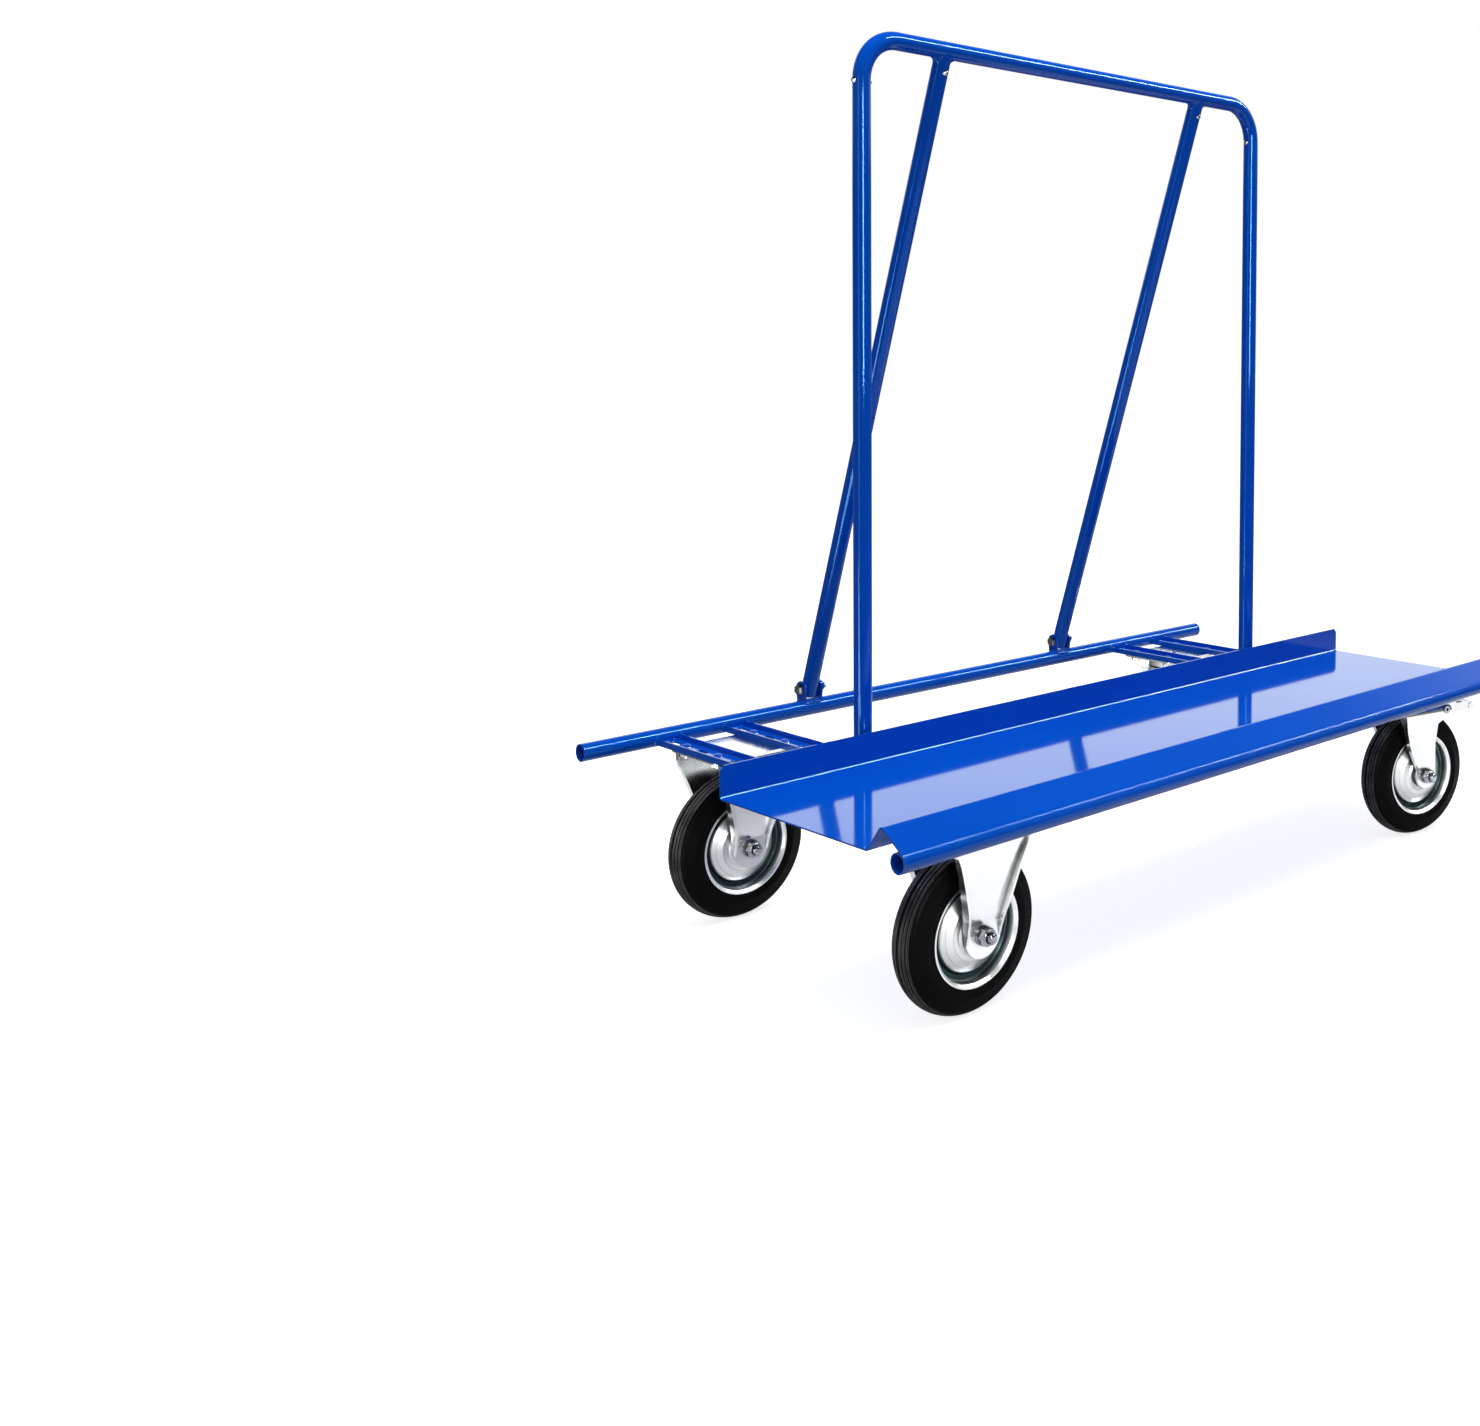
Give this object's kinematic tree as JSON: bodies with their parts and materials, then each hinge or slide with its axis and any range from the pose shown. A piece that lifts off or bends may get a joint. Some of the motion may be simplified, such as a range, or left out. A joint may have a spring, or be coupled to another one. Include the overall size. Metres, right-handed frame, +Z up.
{
  "type": "panel cart",
  "caption": "Low panel cart: a folded sheet tray on a tube base with fixed and braked swivel castors, and a tall braced hoop that long boards lean on.",
  "frame": {"origin": "on the floor, under the centre of the overall box", "axes": "+X along the cart towards the swivel castors, -Y towards the tray, +Z up"},
  "size_m": [1.25, 0.6885, 1.1899],
  "materials": {
    "blue_paint": "gloss",
    "zinc_plate": "bright zinc",
    "bright_steel": "machined",
    "tyre_rubber": "matt"
  },
  "bodies": {
    "base": {"front_tube": "blue_paint", "rear_tube": "blue_paint", "channel_left_outer": "blue_paint", "channel_left_inner": "blue_paint", "channel_right_inner": "blue_paint", "channel_right_outer": "blue_paint", "tray": "blue_paint", "hoop": "blue_paint", "leg_spigots": "blue_paint", "leg_bolts": "zinc_plate", "brace_left": "blue_paint", "brace_right": "blue_paint", "brace_clevises": "blue_paint", "brace_bolts": "zinc_plate", "brace_nuts": "zinc_plate", "vent_rivets": "zinc_plate", "castor_bolts": "zinc_plate", "castor_nuts": "zinc_plate", "plate_rear_left": "zinc_plate", "plate_front_left": "zinc_plate", "plate_rear_right": "zinc_plate", "plate_front_right": "zinc_plate", "fork_rear_left": "zinc_plate", "fork_front_left": "zinc_plate", "axle_rear_left": "bright_steel", "axle_front_left": "bright_steel", "kingpin_rear_right": "bright_steel", "kingpin_front_right": "bright_steel"},
    "swivel_rear_right": {"fork_rear_right": "zinc_plate", "axle_rear_right": "bright_steel", "balls_rear_right": "bright_steel", "pedal_pin_rear_right": "bright_steel"},
    "swivel_front_right": {"fork_front_right": "zinc_plate", "axle_front_right": "bright_steel", "balls_front_right": "bright_steel", "pedal_pin_front_right": "bright_steel"},
    "wheel_rear_left": {"tyre_rear_left": "tyre_rubber", "rim_rear_left": "zinc_plate", "rollers_rear_left": "bright_steel"},
    "wheel_front_left": {"tyre_front_left": "tyre_rubber", "rim_front_left": "zinc_plate", "rollers_front_left": "bright_steel"},
    "wheel_rear_right": {"tyre_rear_right": "tyre_rubber", "rim_rear_right": "zinc_plate", "rollers_rear_right": "bright_steel"},
    "wheel_front_right": {"tyre_front_right": "tyre_rubber", "rim_front_right": "zinc_plate", "rollers_front_right": "bright_steel"},
    "pedal_rear_right": {"pedal_rear_right": "zinc_plate"},
    "pedal_front_right": {"pedal_front_right": "zinc_plate"}
  },
  "joints": [
    {"name": "spin_rear_left", "type": "hinge", "parent": "base", "child": "wheel_rear_left", "pos_m": [-0.45, 0.235, 0.1], "axis": [0, 1, 0], "continuous": true},
    {"name": "turn_rear_right", "type": "hinge", "parent": "base", "child": "swivel_rear_right", "pos_m": [0.45, 0.235, 0.212], "axis": [0, 0, 1], "continuous": true},
    {"name": "spin_rear_right", "type": "hinge", "parent": "swivel_rear_right", "child": "wheel_rear_right", "pos_m": [0.49466, 0.24048, 0.1], "axis": [-0.1219, 0.9925, 0], "continuous": true},
    {"name": "press_rear_right", "type": "hinge", "parent": "swivel_rear_right", "child": "pedal_rear_right", "pos_m": [0.5294, 0.24475, 0.204], "axis": [-0.1219, 0.9925, 0], "range_deg": [0, 9]},
    {"name": "spin_front_left", "type": "hinge", "parent": "base", "child": "wheel_front_left", "pos_m": [-0.45, -0.235, 0.1], "axis": [0, 1, 0], "continuous": true},
    {"name": "turn_front_right", "type": "hinge", "parent": "base", "child": "swivel_front_right", "pos_m": [0.45, -0.235, 0.212], "axis": [0, 0, 1], "continuous": true},
    {"name": "spin_front_right", "type": "hinge", "parent": "swivel_front_right", "child": "wheel_front_right", "pos_m": [0.49377, -0.24543, 0.1], "axis": [0.2317, 0.9728, 0], "continuous": true},
    {"name": "press_front_right", "type": "hinge", "parent": "swivel_front_right", "child": "pedal_front_right", "pos_m": [0.52782, -0.25354, 0.204], "axis": [0.2317, 0.9728, 0], "range_deg": [0, 9]}
  ]
}
